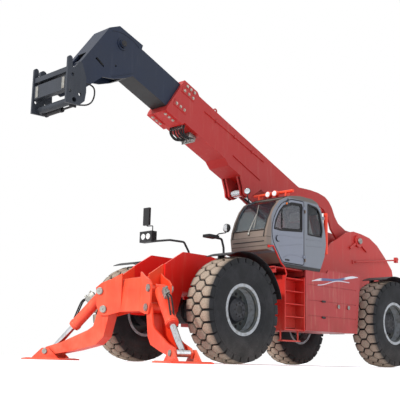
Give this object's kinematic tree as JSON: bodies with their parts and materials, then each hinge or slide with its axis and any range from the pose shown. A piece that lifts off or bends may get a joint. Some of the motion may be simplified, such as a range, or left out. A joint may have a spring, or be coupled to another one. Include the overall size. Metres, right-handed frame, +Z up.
{
  "type": "telehandler",
  "caption": "Heavy side-cab telescopic handler with four large steered wheels, a telescopic boom with a drop nose and tool carriage, and two front stabiliser legs.",
  "frame": {"origin": "on the ground below the middle of the overall length and width, with wheels and stabiliser pads on the ground", "axes": "+X forwards towards the tool carriage, +Y to the machine's left (the cab's side), +Z up"},
  "size_m": [8.66, 3.8542, 5.0538],
  "materials": {
    "tyre_rubber": "matte, dusty tread",
    "rim_paint": "satin light blue-grey paint",
    "red_paint": "gloss orange-red paint",
    "dark_paint": "satin dark slate paint",
    "grey_paint": "satin dark grey paint",
    "cab_paint": "satin beige-grey paint",
    "door_paint": "silver-grey paint",
    "glass": "clear safety glass",
    "chromed_rod": "hard chrome",
    "ram_red": "gloss orange-red paint",
    "seat_fabric": "dark woven fabric",
    "black_plastic": "fine grain",
    "cast_iron": "raw casting"
  },
  "bodies": {
    "chassis": {"chassis_frame": "red_paint", "nose_frame": "red_paint", "axle_front": "grey_paint", "axle_rear": "grey_paint", "side_tank": "red_paint", "ladder": "red_paint", "engine_pod": "red_paint", "engine_block": "cast_iron", "cab_shell": "cab_paint", "cab_glass": "glass", "seat": "seat_fabric", "steering_column": "black_plastic", "roof_guard": "red_paint", "mirror_left": "dark_paint", "mirror_right": "dark_paint"},
    "hood": {"engine_hood": "red_paint"},
    "door": {"cab_door": "door_paint", "door_glass": "glass"},
    "boom": {"boom_outer": "red_paint"},
    "extension": {"boom_inner": "dark_paint"},
    "tool_carriage": {"carriage": "grey_paint"},
    "lift_ram_barrel": {"lift_barrel": "ram_red"},
    "lift_ram_rod": {"lift_rod": "chromed_rod"},
    "tilt_ram_barrel": {"tilt_barrel": "grey_paint"},
    "tilt_ram_rod": {"tilt_rod": "chromed_rod"},
    "steering_front_left": {"knuckle_front_left": "grey_paint"},
    "wheel_front_left": {"tyre_front_left": "tyre_rubber", "rim_front_left": "rim_paint"},
    "steering_front_right": {"knuckle_front_right": "grey_paint"},
    "wheel_front_right": {"tyre_front_right": "tyre_rubber", "rim_front_right": "rim_paint"},
    "steering_rear_left": {"knuckle_rear_left": "grey_paint"},
    "wheel_rear_left": {"tyre_rear_left": "tyre_rubber", "rim_rear_left": "rim_paint"},
    "steering_rear_right": {"knuckle_rear_right": "grey_paint"},
    "wheel_rear_right": {"tyre_rear_right": "tyre_rubber", "rim_rear_right": "rim_paint"},
    "stabiliser_left": {"leg_left": "red_paint"},
    "foot_left": {"pad_left": "grey_paint"},
    "leg_ram_barrel_left": {"leg_barrel_left": "ram_red"},
    "leg_ram_rod_left": {"leg_rod_left": "chromed_rod"},
    "stabiliser_right": {"leg_right": "red_paint"},
    "foot_right": {"pad_right": "grey_paint"},
    "leg_ram_barrel_right": {"leg_barrel_right": "ram_red"},
    "leg_ram_rod_right": {"leg_rod_right": "chromed_rod"}
  },
  "joints": [
    {"name": "steer_front_left", "type": "hinge", "parent": "chassis", "child": "steering_front_left", "pos_m": [1.535, 0.72, 0.8], "axis": [0, 0, 1], "range_deg": [-26, 26]},
    {"name": "spin_front_left", "type": "hinge", "parent": "steering_front_left", "child": "wheel_front_left", "pos_m": [1.535, 1.092, 0.8], "axis": [0, 1, 0], "continuous": true},
    {"name": "steer_front_right", "type": "hinge", "parent": "chassis", "child": "steering_front_right", "pos_m": [1.535, -0.72, 0.8], "axis": [0, 0, 1], "range_deg": [-26, 26]},
    {"name": "spin_front_right", "type": "hinge", "parent": "steering_front_right", "child": "wheel_front_right", "pos_m": [1.535, -1.092, 0.8], "axis": [0, 1, 0], "continuous": true},
    {"name": "steer_rear_left", "type": "hinge", "parent": "chassis", "child": "steering_rear_left", "pos_m": [-2.7, 0.72, 0.8], "axis": [0, 0, 1], "range_deg": [-26, 26]},
    {"name": "spin_rear_left", "type": "hinge", "parent": "steering_rear_left", "child": "wheel_rear_left", "pos_m": [-2.7, 1.092, 0.8], "axis": [0, 1, 0], "continuous": true},
    {"name": "steer_rear_right", "type": "hinge", "parent": "chassis", "child": "steering_rear_right", "pos_m": [-2.7, -0.72, 0.8], "axis": [0, 0, 1], "range_deg": [-26, 26]},
    {"name": "spin_rear_right", "type": "hinge", "parent": "steering_rear_right", "child": "wheel_rear_right", "pos_m": [-2.7, -1.092, 0.8], "axis": [0, 1, 0], "continuous": true},
    {"name": "boom_lift", "type": "hinge", "parent": "chassis", "child": "boom", "pos_m": [-2.9, 0, 2.44], "axis": [0, -1, 0], "range_deg": [-24, 46]},
    {"name": "boom_extend", "type": "slide", "parent": "boom", "child": "extension", "axis": [0.9272, 0, 0.3746], "range_m": [-0.6, 1.4]},
    {"name": "carriage_tilt", "type": "hinge", "parent": "extension", "child": "tool_carriage", "pos_m": [4, 0, 3.9], "axis": [0, -1, 0], "range_deg": [-60, 30]},
    {"name": "lift_ram_swing", "type": "hinge", "parent": "chassis", "child": "lift_ram_barrel", "pos_m": [-2.6, 0, 1.65], "axis": [0, -1, 0], "range_deg": [-24, 46]},
    {"name": "lift_ram_stroke", "type": "slide", "parent": "lift_ram_barrel", "child": "lift_ram_rod", "axis": [0.9102, 0, 0.4141], "range_m": [-0.4, 0.8]},
    {"name": "tilt_ram_swing", "type": "hinge", "parent": "extension", "child": "tilt_ram_barrel", "pos_m": [3.17104, 0, 4.77853], "axis": [0, -1, 0], "range_deg": [-6, 6]},
    {"name": "tilt_ram_stroke", "type": "slide", "parent": "tilt_ram_barrel", "child": "tilt_ram_rod", "axis": [0.7947, 0, -0.6071], "range_m": [-0.15, 0.25]},
    {"name": "cab_door_swing", "type": "hinge", "parent": "chassis", "child": "door", "pos_m": [-0.11, 1.196, 2.1], "axis": [0, 0, 1], "range_deg": [0, 85]},
    {"name": "hood_open", "type": "hinge", "parent": "chassis", "child": "hood", "pos_m": [0.45, -0.37, 1.812], "axis": [-0.9939, 0, 0.1099], "range_deg": [0, 60]},
    {"name": "leg_swing_left", "type": "hinge", "parent": "chassis", "child": "stabiliser_left", "pos_m": [2.598, 0.554, 0.781], "axis": [0.9298, -0.3681, 0], "range_deg": [-12.5, 83]},
    {"name": "foot_tilt_left", "type": "hinge", "parent": "stabiliser_left", "child": "foot_left", "pos_m": [2.96907, 1.49121, 0.13], "axis": [0.9298, -0.3681, 0], "range_deg": [-15, 15]},
    {"name": "leg_ram_swing_left", "type": "hinge", "parent": "chassis", "child": "leg_ram_barrel_left", "pos_m": [2.62598, 0.62466, 1.058], "axis": [0.9298, -0.3681, 0], "range_deg": [-14, 90]},
    {"name": "leg_ram_stroke_left", "type": "slide", "parent": "leg_ram_barrel_left", "child": "leg_ram_rod_left", "axis": [0.2609, 0.6589, -0.7056], "range_m": [-0.42, 0.1]},
    {"name": "leg_swing_right", "type": "hinge", "parent": "chassis", "child": "stabiliser_right", "pos_m": [2.598, -0.554, 0.781], "axis": [-0.9298, -0.3681, 0], "range_deg": [-12.5, 83]},
    {"name": "foot_tilt_right", "type": "hinge", "parent": "stabiliser_right", "child": "foot_right", "pos_m": [2.96907, -1.49121, 0.13], "axis": [-0.9298, -0.3681, 0], "range_deg": [-15, 15]},
    {"name": "leg_ram_swing_right", "type": "hinge", "parent": "chassis", "child": "leg_ram_barrel_right", "pos_m": [2.62598, -0.62466, 1.058], "axis": [-0.9298, -0.3681, 0], "range_deg": [-14, 90]},
    {"name": "leg_ram_stroke_right", "type": "slide", "parent": "leg_ram_barrel_right", "child": "leg_ram_rod_right", "axis": [0.2609, -0.6589, -0.7056], "range_m": [-0.42, 0.1]}
  ],
  "couplings": [
    {"joint": "steer_front_right", "follows": "steer_front_left", "ratio": 1},
    {"joint": "steer_rear_right", "follows": "steer_rear_left", "ratio": 1},
    {"joint": "lift_ram_swing", "follows": "boom_lift", "ratio": 0.94},
    {"joint": "lift_ram_stroke", "follows": "boom_lift", "m_per_rad": 0.85},
    {"joint": "tilt_ram_swing", "follows": "carriage_tilt", "ratio": -0.05},
    {"joint": "tilt_ram_stroke", "follows": "carriage_tilt", "m_per_rad": -0.2},
    {"joint": "leg_ram_swing_left", "follows": "leg_swing_left", "ratio": 1.03},
    {"joint": "leg_ram_stroke_left", "follows": "leg_swing_left", "m_per_rad": -0.255},
    {"joint": "leg_ram_swing_right", "follows": "leg_swing_right", "ratio": 1.03},
    {"joint": "leg_ram_stroke_right", "follows": "leg_swing_right", "m_per_rad": -0.255}
  ]
}
